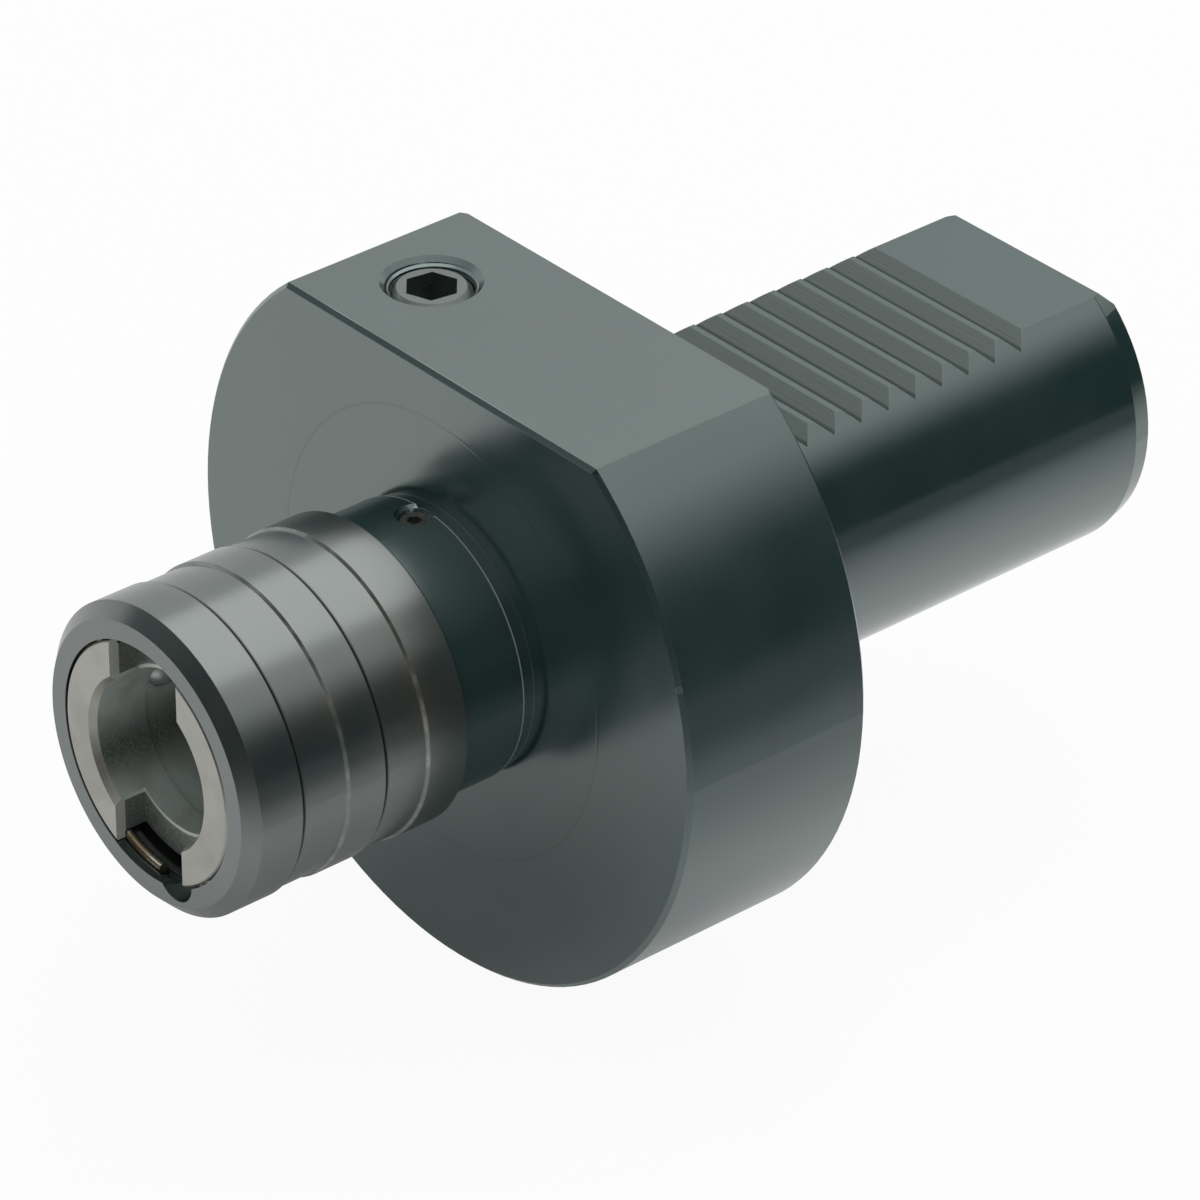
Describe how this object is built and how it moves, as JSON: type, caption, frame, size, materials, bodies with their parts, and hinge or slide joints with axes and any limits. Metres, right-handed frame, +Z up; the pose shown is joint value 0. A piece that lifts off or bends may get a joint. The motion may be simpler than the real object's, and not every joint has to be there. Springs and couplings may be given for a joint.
{
  "type": "quick-change tapping chuck",
  "caption": "Quick-change tapping chuck with length compensation: sprung nose with a locking sleeve, flange with a flat, and a toothed cylindrical shank.",
  "frame": {"origin": "centre of the shank at the flange's rear contact face", "axes": "+Y along the shank, from the nose towards the machine; +Z up, towards the flats; +X to the right"},
  "size_m": [0.083, 0.128, 0.074],
  "materials": {
    "black_oxide_steel": "black oxide",
    "sleeve_steel": "black oxide",
    "spindle_steel": "hardened and ground",
    "ball_steel": "polished",
    "ring_steel": "oil tempered",
    "spring_steel": "drawn wire",
    "screw_steel": "black oxide",
    "seal_rubber": "matt"
  },
  "bodies": {
    "holder": {"holder_body": "black_oxide_steel", "coolant_plug": "screw_steel", "neck_screw_top": "screw_steel", "neck_screw_bottom": "screw_steel", "shank_seal": "seal_rubber", "coolant_seal": "seal_rubber", "front_spring_washer": "spindle_steel", "front_spring": "spring_steel", "rear_spring": "spring_steel", "rear_spring_washer": "spindle_steel", "end_plug": "screw_steel", "end_retaining_ring": "spring_steel"},
    "spindle_group": {"spindle": "spindle_steel", "spindle_rod": "spindle_steel", "spring_disc": "spindle_steel", "disc_nut": "screw_steel", "sleeve_spring": "spring_steel"},
    "sleeve_group": {"locking_sleeve": "sleeve_steel", "snap_ring": "ring_steel"},
    "lock_ball_a": {"lock_ball_1": "ball_steel"},
    "lock_ball_b": {"lock_ball_2": "ball_steel"},
    "lock_ball_c": {"lock_ball_3": "ball_steel"},
    "drive_row_top": {"drive_balls_top": "ball_steel"},
    "drive_row_bottom": {"drive_balls_bottom": "ball_steel"}
  },
  "joints": [
    {"name": "spindle_slide", "type": "slide", "parent": "holder", "child": "spindle_group", "axis": [0, 1, 0], "range_m": [-0.0075, 0.0075], "stiffness_N_per_m": 6000, "deforming": ["front_spring", "rear_spring"]},
    {"name": "sleeve_slide", "type": "slide", "parent": "spindle_group", "child": "sleeve_group", "axis": [0, 1, 0], "range_m": [0, 0.0025], "stiffness_N_per_m": 2000, "springref_m": -0.003, "deforming": ["sleeve_spring"]},
    {"name": "lock_ball_a_slide", "type": "slide", "parent": "spindle_group", "child": "lock_ball_a", "axis": [0.766, 0, 0.6428], "range_m": [0, 0.0011]},
    {"name": "lock_ball_b_slide", "type": "slide", "parent": "spindle_group", "child": "lock_ball_b", "axis": [-0.9397, 0, 0.342], "range_m": [0, 0.0011]},
    {"name": "lock_ball_c_slide", "type": "slide", "parent": "spindle_group", "child": "lock_ball_c", "axis": [0.1736, 0, -0.9848], "range_m": [0, 0.0011]},
    {"name": "drive_row_top_slide", "type": "slide", "parent": "holder", "child": "drive_row_top", "axis": [0, 1, 0], "range_m": [-0.00375, 0.00375]},
    {"name": "drive_row_bottom_slide", "type": "slide", "parent": "holder", "child": "drive_row_bottom", "axis": [0, 1, 0], "range_m": [-0.00375, 0.00375]}
  ],
  "couplings": [
    {"joint": "lock_ball_a_slide", "follows": "sleeve_slide", "ratio": 0.44},
    {"joint": "lock_ball_b_slide", "follows": "sleeve_slide", "ratio": 0.44},
    {"joint": "lock_ball_c_slide", "follows": "sleeve_slide", "ratio": 0.44},
    {"joint": "drive_row_top_slide", "follows": "spindle_slide", "ratio": 0.5},
    {"joint": "drive_row_bottom_slide", "follows": "spindle_slide", "ratio": 0.5}
  ]
}
